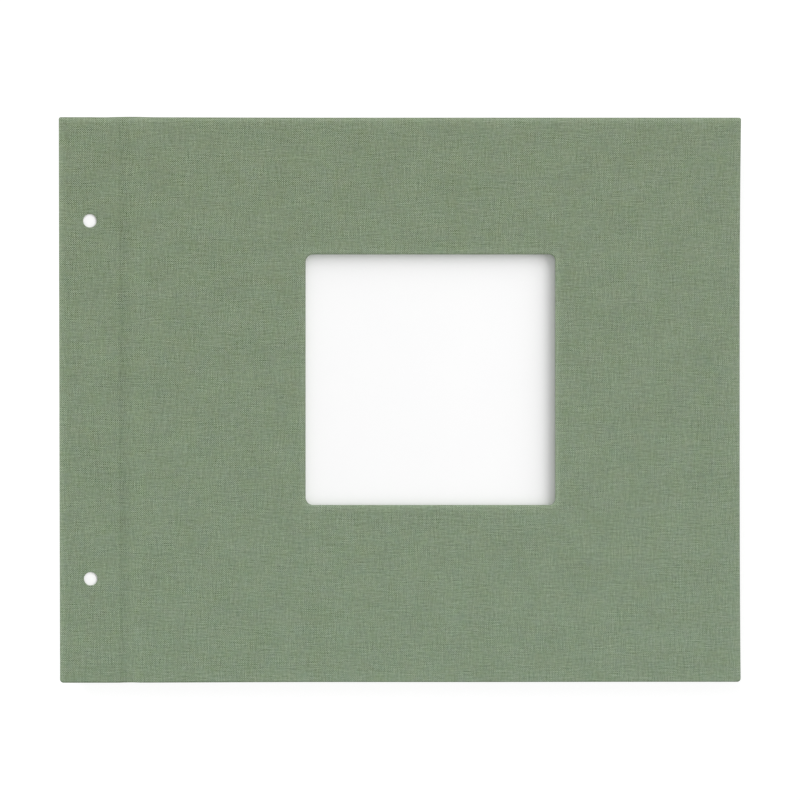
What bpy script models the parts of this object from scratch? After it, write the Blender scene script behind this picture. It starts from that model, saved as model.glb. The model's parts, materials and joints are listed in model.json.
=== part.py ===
# Post-bound scrapbook album with linen covers, a window in the front cover and twenty white sheets.
# It lies on its back cover: +X runs to the fore edge, +Y to the head and +Z out of the front cover.
# The origin is under the middle of the covers, on the face that the album lies on.

import math

import bmesh
import bpy
from mathutils import Matrix, Vector

MM = 0.001

# Covers
COVER_WIDTH = 301.4 * MM
COVER_HEIGHT = 250 * MM
COVER_CORNER_RADIUS = 1.3 * MM
BOARD_THICKNESS = 2.4 * MM
BOARD_EDGE_ROUND = 0.5 * MM
CLOTH_THICKNESS = 0.4 * MM
TURN_IN = 15 * MM
LINING_THICKNESS = 0.25 * MM
LINING_MARGIN = 4 * MM

# Binding strip and the groove that the covers bend in
STRIP_WIDTH = 26.4 * MM
GROOVE_WIDTH = 12 * MM
GROOVE_FALL = 5 * MM
GROOVE_DEPTH = 1.2 * MM
GUARD_THICKNESS = 0.6 * MM
HINGE_RISE = 0.3 * MM

# Window in the front cover, and the card behind it
WINDOW_WIDTH = 110.8 * MM
WINDOW_HEIGHT = 111.2 * MM
WINDOW_CORNER_RADIUS = 2.4 * MM
WINDOW_OFFSET = 0.4 * MM
WINDOW_RAISE = 8.9 * MM
WINDOW_TURN_IN = 12 * MM
WINDOW_CARD_LAP = 14 * MM
WINDOW_CARD_THICKNESS = 0.3 * MM

# Sheets: the stub is the sheet folded double
SHEET_COUNT = 20
SHEET_THICKNESS = 0.25 * MM
SHEET_MARGIN = 4 * MM
STUB_SPINE_MARGIN = 0.8 * MM
CREASE_GAP = 0.3 * MM

# Binding posts: a flanged barrel under the front cloth and a slotted screw from the back
POST_SPACING = 158.5 * MM
POST_INSET = 13.7 * MM
COVER_HOLE_DIAMETER = 6 * MM
BARREL_DIAMETER = 4.6 * MM
BARREL_FLANGE_DIAMETER = 10 * MM
BARREL_FLANGE_THICKNESS = 0.8 * MM
BARREL_BORE_DIAMETER = 3.2 * MM
BARREL_BORE_DEPTH = 11 * MM
SCREW_HEAD_DIAMETER = 10 * MM
SCREW_HEAD_THICKNESS = 1.2 * MM
SCREW_HEAD_SINK = 0.3 * MM
SCREW_HEAD_ROUND = 0.3 * MM
SCREW_THREAD_LENGTH = 9 * MM
SCREW_SLOT_WIDTH = 1.2 * MM
SCREW_SLOT_DEPTH = 0.6 * MM

# Clearances
SEAT_GAP = 0.1 * MM
POST_GAP = 0.2 * MM
THREAD_GAP = 0.15 * MM
CUT_PAST = 1 * MM

# Facets
CORNER_STEPS = 4
EDGE_STEPS = 3
GROOVE_STEPS = 12
HOLE_STEPS = 16
POST_STEPS = 24

# Layers of a cover, as depths below its outer face
BOARD_TOP = CLOTH_THICKNESS + SEAT_GAP
BOARD_FLOOR = BOARD_TOP + BOARD_THICKNESS
TURN_IN_TOP = BOARD_FLOOR + SEAT_GAP
TURN_IN_FLOOR = TURN_IN_TOP + CLOTH_THICKNESS
INNER_TOP = TURN_IN_FLOOR + SEAT_GAP
GUARD_FLOOR = INNER_TOP + GUARD_THICKNESS
CARD_FLOOR = INNER_TOP + WINDOW_CARD_THICKNESS

# Stack of sheets between the guards
STUB_THICKNESS = 2 * SHEET_THICKNESS
STUB_PITCH = STUB_THICKNESS + SEAT_GAP
STACK_FLOOR = GUARD_FLOOR + SEAT_GAP
ALBUM_THICKNESS = 2 * STACK_FLOOR + SHEET_COUNT * STUB_PITCH - SEAT_GAP

# Places across and along the album
SPINE_X = -COVER_WIDTH / 2
FORE_X = COVER_WIDTH / 2
HEAD_Y = COVER_HEIGHT / 2
STRIP_END_X = SPINE_X + STRIP_WIDTH
PANEL_START_X = STRIP_END_X + GROOVE_WIDTH
HINGE_X = (STRIP_END_X + PANEL_START_X) / 2
POST_X = SPINE_X + POST_INSET
POST_PLACES = {"top": POST_SPACING / 2, "bottom": -POST_SPACING / 2}
WINDOW_X = (STRIP_END_X + FORE_X) / 2 + WINDOW_OFFSET
WRAP_ROOM = CLOTH_THICKNESS + SEAT_GAP
FRONT_HINGE = Vector((HINGE_X, 0, ALBUM_THICKNESS + HINGE_RISE))
BACK_HINGE = Vector((HINGE_X, 0, -HINGE_RISE))

LINEN_GREEN = (0.22, 0.28, 0.19)
BOARD_GREY = (0.32, 0.29, 0.25)
PAPER_WHITE = (0.86, 0.85, 0.82)
CARD_WHITE = (0.9, 0.9, 0.9)
POST_WHITE = (0.88, 0.88, 0.87)


def clear_scene():
    for obj in list(bpy.data.objects):
        bpy.data.objects.remove(obj, do_unlink=True)


def make_material(name, colour, roughness):
    material = bpy.data.materials.new(name)
    material.use_nodes = True
    shader = material.node_tree.nodes["Principled BSDF"]
    shader.inputs["Base Color"].default_value = (*colour, 1)
    shader.inputs["Roughness"].default_value = roughness
    shader.inputs["Metallic"].default_value = 0
    return material


def add_object(name, mesh_builder, colour, roughness=0.8):
    """Turns a finished mesh builder into a named object with its own material."""
    bmesh.ops.recalc_face_normals(mesh_builder, faces=mesh_builder.faces)
    mesh = bpy.data.meshes.new(name)
    mesh_builder.to_mesh(mesh)
    mesh_builder.free()
    mesh.materials.append(make_material(name, colour, roughness))
    obj = bpy.data.objects.new(name, mesh)
    bpy.context.scene.collection.objects.link(obj)
    return obj


def add_cutter(name, mesh_builder):
    cutter = add_object(name, mesh_builder, BOARD_GREY)
    cutter.hide_render = True
    cutter.display_type = "WIRE"
    return cutter


def cut(obj, *cutters):
    for cutter in cutters:
        modifier = obj.modifiers.new(cutter.name, "BOOLEAN")
        modifier.operation = "DIFFERENCE"
        modifier.solver = "EXACT"
        modifier.object = cutter


def place_origin(obj, point):
    """Moves an object's origin to a point of its joint axis and leaves its shape where it is."""
    obj.data.transform(Matrix.Translation(-point))
    obj.location = point


def shade_round(obj):
    obj.data.shade_smooth()
    obj.data.set_sharp_from_angle(angle=math.radians(35))


def rectangle(x_low, x_high, y_low, y_high, left_radius=0, right_radius=0):
    """Anticlockwise outline, with an arc at each corner whose side has a radius."""
    corners = (
        (x_low, y_low, left_radius, 180),
        (x_high, y_low, right_radius, 270),
        (x_high, y_high, right_radius, 0),
        (x_low, y_high, left_radius, 90),
    )
    points = []
    for x, y, radius, start in corners:
        if not radius:
            points.append((x, y))
            continue
        centre_x = x + radius if x == x_low else x - radius
        centre_y = y + radius if y == y_low else y - radius
        for step in range(CORNER_STEPS + 1):
            angle = math.radians(start + 90 * step / CORNER_STEPS)
            points.append((centre_x + radius * math.cos(angle), centre_y + radius * math.sin(angle)))
    return points


def circle(x, y, diameter, steps):
    angles = [2 * math.pi * step / steps for step in range(steps)]
    return [(x + diameter / 2 * math.cos(a), y + diameter / 2 * math.sin(a)) for a in angles]


def window_outline(grow):
    """The window's opening, grown outwards on every side."""
    half_width = WINDOW_WIDTH / 2 + grow
    half_height = WINDOW_HEIGHT / 2 + grow
    radius = WINDOW_CORNER_RADIUS + grow
    return rectangle(
        WINDOW_X - half_width, WINDOW_X + half_width,
        WINDOW_RAISE - half_height, WINDOW_RAISE + half_height, radius, radius,
    )


def plate(outer, holes, z_low, z_high):
    """A flat plate with an outline and any holes, filled and then extruded to its thickness."""
    builder = bmesh.new()
    edges = []
    for loop in (outer, *holes):
        corners = [builder.verts.new((x, y, z_low)) for x, y in loop]
        edges += [builder.edges.new((a, b)) for a, b in zip(corners, corners[1:] + corners[:1])]
    bmesh.ops.triangle_fill(builder, use_beauty=True, edges=edges)
    lifted = bmesh.ops.extrude_face_region(builder, geom=list(builder.faces))["geom"]
    top = [part for part in lifted if isinstance(part, bmesh.types.BMVert)]
    bmesh.ops.translate(builder, vec=(0, 0, z_high - z_low), verts=top)
    return builder


def stack_rings(builder, rings):
    """Closes a pile of outlines with equal counts of points into one solid."""
    loops = [[builder.verts.new(point) for point in ring] for ring in rings]
    for lower, upper in zip(loops, loops[1:]):
        for index in range(len(lower)):
            after = (index + 1) % len(lower)
            builder.faces.new((lower[index], lower[after], upper[after], upper[index]))
    builder.faces.new(loops[0][::-1])
    builder.faces.new(loops[-1])


def turned(profile, x, y):
    """A round piece about a vertical axis, from a profile of (radius, height) points that ends on the axis."""
    builder = bmesh.new()
    loops = []
    for radius, z in profile:
        ring = [(x, y)] if radius == 0 else circle(x, y, 2 * radius, POST_STEPS)
        loops.append([builder.verts.new((px, py, z)) for px, py in ring])
    for upper, lower in zip(loops, loops[1:]):
        for index in range(POST_STEPS):
            after = (index + 1) % POST_STEPS
            corners = [upper[index % len(upper)], upper[after % len(upper)]]
            corners += [lower[after % len(lower)], lower[index % len(lower)]]
            builder.faces.new(list(dict.fromkeys(corners)))
    return builder


def level(side, depth):
    """Height of a layer that lies at a depth below the outer face of the front or back cover."""
    return ALBUM_THICKNESS - depth if side == "front" else depth


def layer(side, depth_low, depth_high):
    return sorted((level(side, depth_low), level(side, depth_high)))


def wrapped_slab(side, x_low, x_high, left_radius, right_radius):
    """Outside of the cloth round a board: edges rounded off where the cloth folds over the board."""
    builder = bmesh.new()
    rings = []
    for depth, lean in rounded_edge():
        inset = BOARD_EDGE_ROUND * (1 - math.sin(lean))
        outline = rectangle(
            x_low + (inset if left_radius else 0), x_high - (inset if right_radius else 0),
            -HEAD_Y + inset, HEAD_Y - inset,
            max(left_radius - inset, 0), max(right_radius - inset, 0),
        )
        rings.append([(x, y, level(side, depth)) for x, y in outline])
    stack_rings(builder, rings)
    return builder


def rounded_edge():
    """Depths and lean angles down the folded edge of a cover, rounded at its outer and inner face."""
    quarter = [math.pi / 2 * step / EDGE_STEPS for step in range(EDGE_STEPS + 1)]
    outer = [(BOARD_EDGE_ROUND * (1 - math.cos(a)), a) for a in quarter]
    inner = [(TURN_IN_FLOOR - depth, a) for depth, a in reversed(outer)]
    return outer + inner


def post_cutter(name, diameter, z_low, z_high):
    """A pair of round cutters on the two posts."""
    builder = bmesh.new()
    for y in POST_PLACES.values():
        outline = circle(POST_X, y, diameter, POST_STEPS)
        stack_rings(builder, [[(px, py, z) for px, py in outline] for z in (z_low, z_high)])
    return add_cutter(name, builder)


def make_strip(side):
    """Board, cloth and guard of one binding strip, which the posts clamp."""
    barrel_hole = BARREL_DIAMETER + 2 * POST_GAP
    board_outline = rectangle(SPINE_X + WRAP_ROOM, STRIP_END_X, -HEAD_Y + WRAP_ROOM, HEAD_Y - WRAP_ROOM)
    barrel_holes = [circle(POST_X, y, barrel_hole, POST_STEPS) for y in POST_PLACES.values()]
    board = add_object(
        f"{side}_strip_board", plate(board_outline, barrel_holes, *layer(side, BOARD_TOP, BOARD_FLOOR)),
        BOARD_GREY,
    )
    head = BARREL_FLANGE_DIAMETER if side == "front" else SCREW_HEAD_DIAMETER
    sink = BARREL_FLANGE_THICKNESS + SEAT_GAP if side == "front" else head_seat() - BOARD_TOP
    recess = layer(side, BOARD_TOP - CUT_PAST, BOARD_TOP + sink)
    cut(board, post_cutter(f"{side}_head_recess", head + 2 * POST_GAP, *recess))

    cloth = add_object(
        f"{side}_strip_cloth",
        wrapped_slab(side, SPINE_X, STRIP_END_X, COVER_CORNER_RADIUS, 0), LINEN_GREEN, 0.9,
    )
    room = rectangle(
        SPINE_X + CLOTH_THICKNESS, STRIP_END_X + CUT_PAST,
        -HEAD_Y + CLOTH_THICKNESS, HEAD_Y - CLOTH_THICKNESS,
    )
    inside = rectangle(SPINE_X + TURN_IN, STRIP_END_X + CUT_PAST, -HEAD_Y + TURN_IN, HEAD_Y - TURN_IN)
    board_room = plate(room, [], *layer(side, CLOTH_THICKNESS, TURN_IN_TOP))
    turn_in_room = plate(inside, [], *layer(side, BOARD_FLOOR, TURN_IN_FLOOR + CUT_PAST))
    face_hole = COVER_HOLE_DIAMETER if side == "front" else head + 2 * POST_GAP
    cut(
        cloth,
        add_cutter(f"{side}_strip_board_room", board_room),
        add_cutter(f"{side}_strip_turn_in_room", turn_in_room),
        post_cutter(f"{side}_cloth_hole", face_hole, *layer(side, -CUT_PAST, BOARD_TOP)),
        post_cutter(f"{side}_turn_in_hole", barrel_hole, *layer(side, BOARD_FLOOR, TURN_IN_FLOOR + CUT_PAST)),
    )
    shade_round(cloth)

    guard_outline = rectangle(
        SPINE_X + STUB_SPINE_MARGIN, STRIP_END_X, -HEAD_Y + SHEET_MARGIN, HEAD_Y - SHEET_MARGIN,
    )
    add_object(
        f"{side}_guard", plate(guard_outline, barrel_holes, *layer(side, INNER_TOP, GUARD_FLOOR)),
        PAPER_WHITE,
    )


def groove_depth(along):
    """Depth of the groove at a distance from the strip: it falls steeply, then rises gently to the panel."""
    if along < GROOVE_FALL:
        return GROOVE_DEPTH * (1 - (1 - along / GROOVE_FALL) ** 2)
    rise = (along - GROOVE_FALL) / (GROOVE_WIDTH - GROOVE_FALL)
    return GROOVE_DEPTH * (1 + math.cos(math.pi * rise)) / 2


def make_hinge_cloth(side):
    """Cloth pressed into the groove between strip and panel, in one section along the cover."""
    builder = bmesh.new()
    span = GROOVE_WIDTH - 2 * SEAT_GAP
    face, underside = [], []
    for step in range(GROOVE_STEPS + 1):
        along = SEAT_GAP + span * step / GROOVE_STEPS
        face.append((STRIP_END_X + along, level(side, groove_depth(along))))
        underside.append((STRIP_END_X + along, level(side, groove_depth(along) + CLOTH_THICKNESS)))
    section = face + underside[::-1]
    stack_rings(builder, [[(x, y, z) for x, z in section] for y in (-HEAD_Y, HEAD_Y)])
    shade_round(add_object(f"{side}_hinge_cloth", builder, LINEN_GREEN, 0.9))


def make_panel(side, hinge):
    """Board, cloth and lining of the part of a cover that swings; the front one has the window."""
    window = side == "front"
    grown = [window_outline(grow) for grow in (0, CLOTH_THICKNESS, WRAP_ROOM, WINDOW_TURN_IN)]
    opening, cloth_wall, board_hole, turn_in_edge = [[outline] if window else [] for outline in grown]

    board_outline = rectangle(PANEL_START_X, FORE_X - WRAP_ROOM, -HEAD_Y + WRAP_ROOM, HEAD_Y - WRAP_ROOM)
    board = add_object(
        f"{side}_board", plate(board_outline, board_hole, *layer(side, BOARD_TOP, BOARD_FLOOR)), BOARD_GREY,
    )

    cloth = add_object(
        f"{side}_cloth", wrapped_slab(side, PANEL_START_X, FORE_X, 0, COVER_CORNER_RADIUS), LINEN_GREEN, 0.9,
    )
    room = rectangle(
        PANEL_START_X - CUT_PAST, FORE_X - CLOTH_THICKNESS,
        -HEAD_Y + CLOTH_THICKNESS, HEAD_Y - CLOTH_THICKNESS,
    )
    inside = rectangle(PANEL_START_X - CUT_PAST, FORE_X - TURN_IN, -HEAD_Y + TURN_IN, HEAD_Y - TURN_IN)
    board_room = plate(room, cloth_wall, *layer(side, CLOTH_THICKNESS, TURN_IN_TOP))
    turn_in_room = plate(inside, turn_in_edge, *layer(side, BOARD_FLOOR, TURN_IN_FLOOR + CUT_PAST))
    cut(
        cloth,
        add_cutter(f"{side}_board_room", board_room),
        add_cutter(f"{side}_turn_in_room", turn_in_room),
    )
    if window:
        through = plate(opening[0], [], *layer(side, -CUT_PAST, TURN_IN_FLOOR + CUT_PAST))
        cut(cloth, add_cutter("window_opening", through))
    shade_round(cloth)

    lining_outline = rectangle(
        PANEL_START_X, FORE_X - LINING_MARGIN, -HEAD_Y + LINING_MARGIN, HEAD_Y - LINING_MARGIN,
    )
    lining_top = CARD_FLOOR + SEAT_GAP if window else INNER_TOP
    lining = add_object(
        f"{side}_lining", plate(lining_outline, [], *layer(side, lining_top, lining_top + LINING_THICKNESS)),
        PAPER_WHITE,
    )
    for piece in (board, cloth, lining):
        place_origin(piece, hinge)


def make_window_card():
    lap = WINDOW_CARD_LAP
    outline = rectangle(
        WINDOW_X - WINDOW_WIDTH / 2 - lap, WINDOW_X + WINDOW_WIDTH / 2 + lap,
        WINDOW_RAISE - WINDOW_HEIGHT / 2 - lap, WINDOW_RAISE + WINDOW_HEIGHT / 2 + lap,
    )
    card = add_object(
        "window_card", plate(outline, [], *layer("front", INNER_TOP, CARD_FLOOR)), CARD_WHITE, 0.6,
    )
    place_origin(card, FRONT_HINGE)


def make_sheet(number):
    """One sheet: its stub folded double and clamped at the spine, and its leaf, which turns on the crease."""
    floor = STACK_FLOOR + (SHEET_COUNT - number) * STUB_PITCH
    y_low, y_high = -HEAD_Y + SHEET_MARGIN, HEAD_Y - SHEET_MARGIN
    stub_outline = rectangle(SPINE_X + STUB_SPINE_MARGIN, HINGE_X - CREASE_GAP / 2, y_low, y_high)
    holes = [circle(POST_X, y, BARREL_DIAMETER + 2 * POST_GAP, HOLE_STEPS) for y in POST_PLACES.values()]
    add_object(
        f"sheet_{number:02d}_stub", plate(stub_outline, holes, floor, floor + STUB_THICKNESS), PAPER_WHITE,
    )
    leaf_outline = rectangle(HINGE_X + CREASE_GAP / 2, FORE_X - SHEET_MARGIN, y_low, y_high)
    leaf = add_object(
        f"sheet_{number:02d}_leaf", plate(leaf_outline, [], floor, floor + SHEET_THICKNESS), PAPER_WHITE,
    )
    place_origin(leaf, FRONT_HINGE)


def head_seat():
    """Depth below the back face at which a screw's head bears on its recess."""
    return SCREW_HEAD_SINK + SCREW_HEAD_THICKNESS + SEAT_GAP


def make_post(place, y):
    """Barrel with its flange under the front cloth, and the screw that draws the back cover up to it."""
    flange_top = level("front", BOARD_TOP)
    flange_floor = flange_top - BARREL_FLANGE_THICKNESS
    barrel_end = head_seat() + SEAT_GAP
    barrel_profile = [
        (0, flange_top), (BARREL_FLANGE_DIAMETER / 2, flange_top),
        (BARREL_FLANGE_DIAMETER / 2, flange_floor), (BARREL_DIAMETER / 2, flange_floor),
        (BARREL_DIAMETER / 2, barrel_end), (BARREL_BORE_DIAMETER / 2, barrel_end),
        (BARREL_BORE_DIAMETER / 2, barrel_end + BARREL_BORE_DEPTH), (0, barrel_end + BARREL_BORE_DEPTH),
    ]
    barrel = add_object(f"post_barrel_{place}", turned(barrel_profile, POST_X, y), POST_WHITE, 0.4)
    shade_round(barrel)

    thread = BARREL_BORE_DIAMETER / 2 - THREAD_GAP
    head_floor = SCREW_HEAD_SINK
    head_top = head_floor + SCREW_HEAD_THICKNESS
    head = SCREW_HEAD_DIAMETER / 2
    screw_profile = [
        (0, head_top + SCREW_THREAD_LENGTH), (thread, head_top + SCREW_THREAD_LENGTH), (thread, head_top),
        (head, head_top), (head, head_floor + SCREW_HEAD_ROUND), (head - SCREW_HEAD_ROUND, head_floor),
        (0, head_floor),
    ]
    screw = add_object(f"post_screw_{place}", turned(screw_profile, POST_X, y), POST_WHITE, 0.4)
    slot = rectangle(
        POST_X - SCREW_HEAD_DIAMETER, POST_X + SCREW_HEAD_DIAMETER,
        y - SCREW_SLOT_WIDTH / 2, y + SCREW_SLOT_WIDTH / 2,
    )
    slot_cutter = add_cutter(
        f"screw_slot_{place}", plate(slot, [], head_floor - CUT_PAST, head_floor + SCREW_SLOT_DEPTH),
    )
    cut(screw, slot_cutter)
    shade_round(screw)
    place_origin(screw, Vector((POST_X, y, head_floor)))


def main():
    clear_scene()
    for side, hinge in (("front", FRONT_HINGE), ("back", BACK_HINGE)):
        make_strip(side)
        make_hinge_cloth(side)
        make_panel(side, hinge)
    make_window_card()
    for place, y in POST_PLACES.items():
        make_post(place, y)
    for number in range(1, SHEET_COUNT + 1):
        make_sheet(number)


main()
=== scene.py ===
import json
import math

import bmesh
import bpy
import numpy as np
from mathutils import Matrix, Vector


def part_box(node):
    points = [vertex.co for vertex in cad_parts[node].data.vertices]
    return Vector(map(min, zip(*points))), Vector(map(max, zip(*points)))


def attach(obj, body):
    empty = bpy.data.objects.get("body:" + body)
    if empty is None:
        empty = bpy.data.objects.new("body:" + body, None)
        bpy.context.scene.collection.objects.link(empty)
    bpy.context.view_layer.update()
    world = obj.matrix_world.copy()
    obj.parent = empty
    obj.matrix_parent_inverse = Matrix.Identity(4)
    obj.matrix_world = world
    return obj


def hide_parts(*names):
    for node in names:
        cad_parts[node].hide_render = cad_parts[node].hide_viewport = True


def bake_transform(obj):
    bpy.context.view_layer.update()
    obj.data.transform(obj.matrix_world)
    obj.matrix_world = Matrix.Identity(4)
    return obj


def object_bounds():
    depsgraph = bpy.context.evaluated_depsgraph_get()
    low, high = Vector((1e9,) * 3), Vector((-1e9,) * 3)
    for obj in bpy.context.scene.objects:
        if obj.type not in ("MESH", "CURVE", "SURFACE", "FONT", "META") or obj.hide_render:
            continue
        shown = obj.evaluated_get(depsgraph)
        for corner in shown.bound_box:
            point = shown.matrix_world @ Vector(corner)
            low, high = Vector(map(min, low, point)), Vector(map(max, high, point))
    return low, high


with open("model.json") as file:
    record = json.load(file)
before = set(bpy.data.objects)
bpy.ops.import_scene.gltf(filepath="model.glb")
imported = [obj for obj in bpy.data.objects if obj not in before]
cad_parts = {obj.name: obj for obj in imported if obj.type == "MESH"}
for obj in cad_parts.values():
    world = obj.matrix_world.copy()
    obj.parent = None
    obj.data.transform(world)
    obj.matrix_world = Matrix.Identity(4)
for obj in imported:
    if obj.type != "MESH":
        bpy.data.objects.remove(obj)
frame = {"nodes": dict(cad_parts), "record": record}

# Looks of a post-bound album: linen covers with a window, twenty folded sheets, white plastic posts.
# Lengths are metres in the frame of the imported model, and every place below is read from that frame.

mm = 0.001
hair = 1e-7      # places closer than this are one
clear = 1 * mm   # how far a cutter reaches past what it cuts
cadLow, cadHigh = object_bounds()
scene = bpy.context.scene
nodes = frame["nodes"]
print("frame loaded:", len(nodes), "nodes")

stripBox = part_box("front_strip_cloth")
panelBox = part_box("front_cloth")
album = {
    "spine": stripBox[0].x,
    "stripEnd": stripBox[1].x,
    "panelStart": panelBox[0].x,
    "fore": panelBox[1].x,
    "head": panelBox[1].y,
    "front": panelBox[1].z,
    "back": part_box("back_cloth")[0].z,
    "coverThickness": panelBox[1].z - panelBox[0].z,
}
album["hinge"] = (album["stripEnd"] + album["panelStart"]) / 2


def postPlaces():
    # the middle of each barrel's box, seen from above
    boxes = [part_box(f"post_barrel_{place}") for place in ("top", "bottom")]
    return [((low.x + high.x) / 2, (low.y + high.y) / 2) for low, high in boxes]


# shader maths

class Shade:
    # one socket of a material; arithmetic on it adds Math nodes, and a method adds the node that it names
    def __init__(self, tree, socket=None):
        self.tree = tree
        self.socket = socket

    def node(self, kind, settings=None, sockets=None, out=0):
        # any node: its settings first, then a value or a link for each socket
        made = self.tree.nodes.new(kind)
        for key, value in (settings or {}).items():
            setattr(made, key, value)
        for key, value in (sockets or {}).items():
            if isinstance(value, Shade):
                self.tree.links.new(value.socket, made.inputs[key])
            else:
                made.inputs[key].default_value = value
        return Shade(self.tree, made.outputs[out] if made.outputs else None)

    def twin(self, out):
        # another output of the same node
        return Shade(self.tree, self.socket.node.outputs[out])

    def math(self, operation, *values):
        # a Math node with its values in order
        return self.node("ShaderNodeMath", {"operation": operation}, dict(enumerate(values)))

    def __add__(self, other):
        return self.math("ADD", self, other)

    __radd__ = __add__

    def __sub__(self, other):
        return self.math("SUBTRACT", self, other)

    def __rsub__(self, other):
        return self.math("SUBTRACT", other, self)

    def __mul__(self, other):
        return self.math("MULTIPLY", self, other)

    __rmul__ = __mul__

    def __truediv__(self, other):
        return self.math("DIVIDE", self, other)

    def floor(self):
        return self.math("FLOOR", self)

    def part(self):
        return self.math("FRACT", self)

    def sine(self):
        return self.math("SINE", self)

    def modulo(self, other):
        return self.math("FLOORED_MODULO", self, other)

    def clamp(self, low=0.0, high=1.0):
        return self.node("ShaderNodeClamp", None, {"Value": self, "Min": low, "Max": high})

    def axes(self):
        # x, y and z of a vector
        split = self.node("ShaderNodeSeparateXYZ", None, {0: self})
        return [split.twin(axis) for axis in range(3)]

    def scaled(self, factor):
        return self.node("ShaderNodeVectorMath", {"operation": "SCALE"}, {0: self, "Scale": factor})

    def moved(self, amount, step):
        # a colour shifted by so many of a fixed step
        return self.node("ShaderNodeVectorMath", {"operation": "MULTIPLY_ADD"}, {0: amount, 1: step, 2: self})

    def place(self, x=0.0, y=0.0, z=0.0):
        return self.node("ShaderNodeCombineXYZ", None, {0: x, 1: y, 2: z})

    def noise(self, vector, scale=1.0, detail=2.0, roughness=0.5, flat=False):
        settings = {"noise_dimensions": "2D" if flat else "3D"}
        sockets = {"Vector": vector, "Scale": scale, "Detail": detail, "Roughness": roughness}
        return self.node("ShaderNodeTexNoise", settings, sockets)

    def mix(self, factor, first, second):
        # the Mix node's colours are its sockets 6 and 7, and its output 2
        settings = {"data_type": "RGBA", "clamp_factor": True}
        sockets = {0: factor, 6: first, 7: second}
        return self.node("ShaderNodeMix", settings, sockets, out=2)

    def bump(self, strength, height):
        # a normal that leans with this value, as if it stood out by a height in millimetres
        sockets = {"Strength": strength, "Distance": height * mm, "Height": self}
        return self.node("ShaderNodeBump", None, sockets)

    def where(self):
        # Object coordinates in millimetres
        return self.node("ShaderNodeTexCoord", out="Object").scaled(1 / mm)


def newMaterial(name, sockets):
    # a Principled material; the values that hold all over it go straight onto its sockets
    material = bpy.data.materials.new(name)
    material.use_nodes = True
    shader = material.node_tree.nodes["Principled BSDF"]
    for key, value in sockets.items():
        shader.inputs[key].default_value = value
    return material, Shade(material.node_tree), shader


def connect(shader, **feeds):
    # what changes over the surface, each value to the socket of its name
    names = {"baseColor": "Base Color", "roughness": "Roughness", "normal": "Normal"}
    for key, value in feeds.items():
        value.tree.links.new(value.socket, shader.inputs[names[key]])


linenLook = {
    "sage": (0.2217, 0.2822, 0.188, 1.0),
    "greyStep": (0.0023, -0.0016, 0.0010),    # a step from green to grey
    "blueStep": (-0.0004, -0.0005, 0.0030),   # a step from olive to sea green
    "paleStep": (0.245, 0.282, 0.224),        # a paler thread is greyer too
    "greyDrift": 12.0,          # steps between patches
    "blueDrift": 17.0,
    "driftScale": 0.1,          # patches to the millimetre
    "driftDetail": 4.0,
    "driftRough": 1.0,
    "greyAlong": 0.0081,        # steps per mm: greyer to the head, bluer to the tail and the fore edge
    "blueAlong": -0.0100,
    "blueAcross": 0.0030,
    "warpPitch": 0.4472,        # thread to thread, mm
    "weftPitch": 0.4655,
    "wander": 0.5,              # how far a thread strays, mm
    "straySlow": 0.035,         # turns of that per mm, from thread to thread and along one
    "strayFast": 0.11,
    "strayApart": 40.0,         # the wefts stray by another stretch of noise than the warps
    "slubLength": 7.0,          # stretch over which a thread keeps its tone, mm
    "slubRough": 0.6,
    "threadStep": 7.31,         # from one thread's noise to the next one's
    "firstWarp": 0.05,
    "firstWeft": 900.1,
    "warpTone": 0.5,
    "weftTone": 0.56,
    "contrast": 0.85,           # how much a thread is set off against the next one
    "weaveTone": 0.25,
    "weaveDrift": 0.35,         # share of the threads' own tones in it
    "crossingTone": 0.2,
    "reliefAcross": -0.0024,    # the weave stands out most at spine and head, per mm
    "reliefAlong": 0.0024,
    "reliefRange": (0.1, 2.0),
    "fadeAcross": 0.00010,      # and the cloth is palest at fore edge and tail, per mm
    "fadeAlong": -0.00015,
    "crownFlat": 0.6,           # share of a thread's height that it keeps along its run
    "crownMean": 0.51,
    # painted shade in the gaps between threads, painted highlight on their crowns
    "gapTone": 0.16,
    "patchTone": 0.14,
    "patchScale": 0.07,
    "wearTone": 0.14,           # paler where the cloth is folded over an edge: wear and painted highlight
    "rough": 0.84,
    "crownRough": 0.12,
    "bump": 0.25,
    "bumpHeight": 0.06,
    "specular": 0.2,
    "sheen": 0.08,
    "sheenRough": 0.4,
}


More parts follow.
